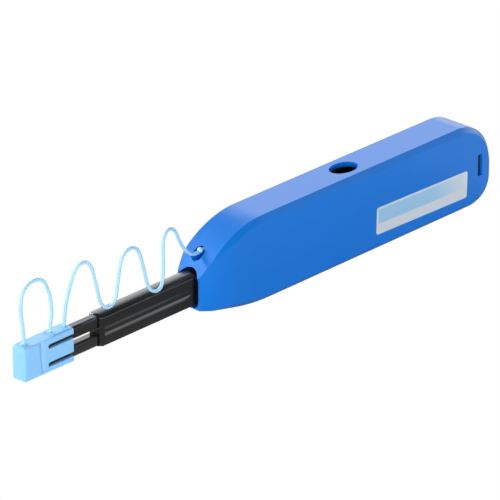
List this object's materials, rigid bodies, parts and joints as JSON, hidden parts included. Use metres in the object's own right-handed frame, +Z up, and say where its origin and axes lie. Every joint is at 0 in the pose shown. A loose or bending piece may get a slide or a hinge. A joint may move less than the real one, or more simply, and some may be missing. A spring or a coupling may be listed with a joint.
{
  "type": "fibre connector cleaning pen",
  "caption": "Push-action cleaning pen for duplex fibre connectors, with a guide cap and lid on moulded straps.",
  "frame": {"origin": "middle of the flat underside of the case", "axes": "+X runs from the cleaning tips to the rear of the case, +Z is up, +Y is to the right seen from the rear with the label on the -Y side"},
  "size_m": [0.2165, 0.0163, 0.0393],
  "materials": {
    "blue_case": "satin moulded ABS",
    "pale_blue_plastic": "moulded polypropylene",
    "pale_blue_strap": "moulded elastomer",
    "black_plastic": "fine textured",
    "dark_plastic": "moulded",
    "white_plastic": "moulded acetal",
    "label_foil": "satin silver foil",
    "spring_steel": "drawn wire",
    "cleaning_thread": "woven microfibre"
  },
  "bodies": {
    "case": {"case_shell_left": "blue_case", "case_shell_right": "blue_case", "label_plate": "label_foil", "feed_rack": "white_plastic", "rear_anchor": "dark_plastic", "return_spring": "spring_steel", "tether": "pale_blue_strap", "tether_toggle": "pale_blue_strap"},
    "carriage": {"carriage": "dark_plastic", "carriage_cover": "dark_plastic", "nozzle_sleeve": "black_plastic", "tip_shroud_upper": "black_plastic", "tip_shroud_lower": "black_plastic", "tip_spring_upper": "spring_steel", "tip_spring_lower": "spring_steel", "thread_upper": "cleaning_thread", "thread_lower": "cleaning_thread", "brake_washer": "spring_steel"},
    "drive_gear": {"drive_gear": "white_plastic"},
    "take_up_reel": {"take_up_reel": "black_plastic", "take_up_winding_upper": "cleaning_thread", "take_up_winding_lower": "cleaning_thread"},
    "supply_reel": {"supply_reel": "white_plastic", "supply_winding_upper": "cleaning_thread", "supply_winding_lower": "cleaning_thread"},
    "tip_core_upper": {"tip_core_upper": "white_plastic"},
    "tip_core_lower": {"tip_core_lower": "white_plastic"},
    "guide_cap": {"guide_cap": "pale_blue_plastic"},
    "cap_lid": {"cap_lid": "pale_blue_plastic", "lid_strap": "pale_blue_strap"}
  },
  "joints": [
    {"name": "push", "type": "slide", "parent": "case", "child": "carriage", "axis": [1, 0, 0], "range_m": [0, 0.012], "stiffness_N_per_m": 300, "springref_m": -0.01, "deforming": ["return_spring", "tether"]},
    {"name": "gear_spin", "type": "hinge", "parent": "carriage", "child": "drive_gear", "pos_m": [-0.01, 0, 0.0146], "axis": [0, 1, 0], "range_deg": [0, 90]},
    {"name": "take_up_spin", "type": "hinge", "parent": "carriage", "child": "take_up_reel", "pos_m": [-0.01, 0, 0.0146], "axis": [0, 1, 0], "range_deg": [0, 90]},
    {"name": "supply_spin", "type": "hinge", "parent": "carriage", "child": "supply_reel", "pos_m": [0.0145, 0, 0.0146], "axis": [0, 1, 0], "range_deg": [0, 65]},
    {"name": "upper_tip_slide", "type": "slide", "parent": "carriage", "child": "tip_core_upper", "axis": [1, 0, 0], "range_m": [0, 0.0015], "stiffness_N_per_m": 400, "springref_m": -0.002, "deforming": ["tip_spring_upper", "thread_upper"]},
    {"name": "lower_tip_slide", "type": "slide", "parent": "carriage", "child": "tip_core_lower", "axis": [1, 0, 0], "range_m": [0, 0.0015], "stiffness_N_per_m": 400, "springref_m": -0.002, "deforming": ["tip_spring_lower", "thread_lower"]},
    {"name": "cap_slide", "type": "slide", "parent": "carriage", "child": "guide_cap", "axis": [-1, 0, 0], "range_m": [0, 0.025], "deforming": ["tether"]},
    {"name": "lid_slide", "type": "slide", "parent": "guide_cap", "child": "cap_lid", "axis": [-1, 0, 0], "range_m": [0, 0.01], "deforming": ["lid_strap"]}
  ],
  "couplings": [
    {"joint": "gear_spin", "follows": "push", "rad_per_m": 113.64},
    {"joint": "take_up_spin", "follows": "push", "rad_per_m": 113.64},
    {"joint": "supply_spin", "follows": "push", "rad_per_m": 82.071}
  ]
}
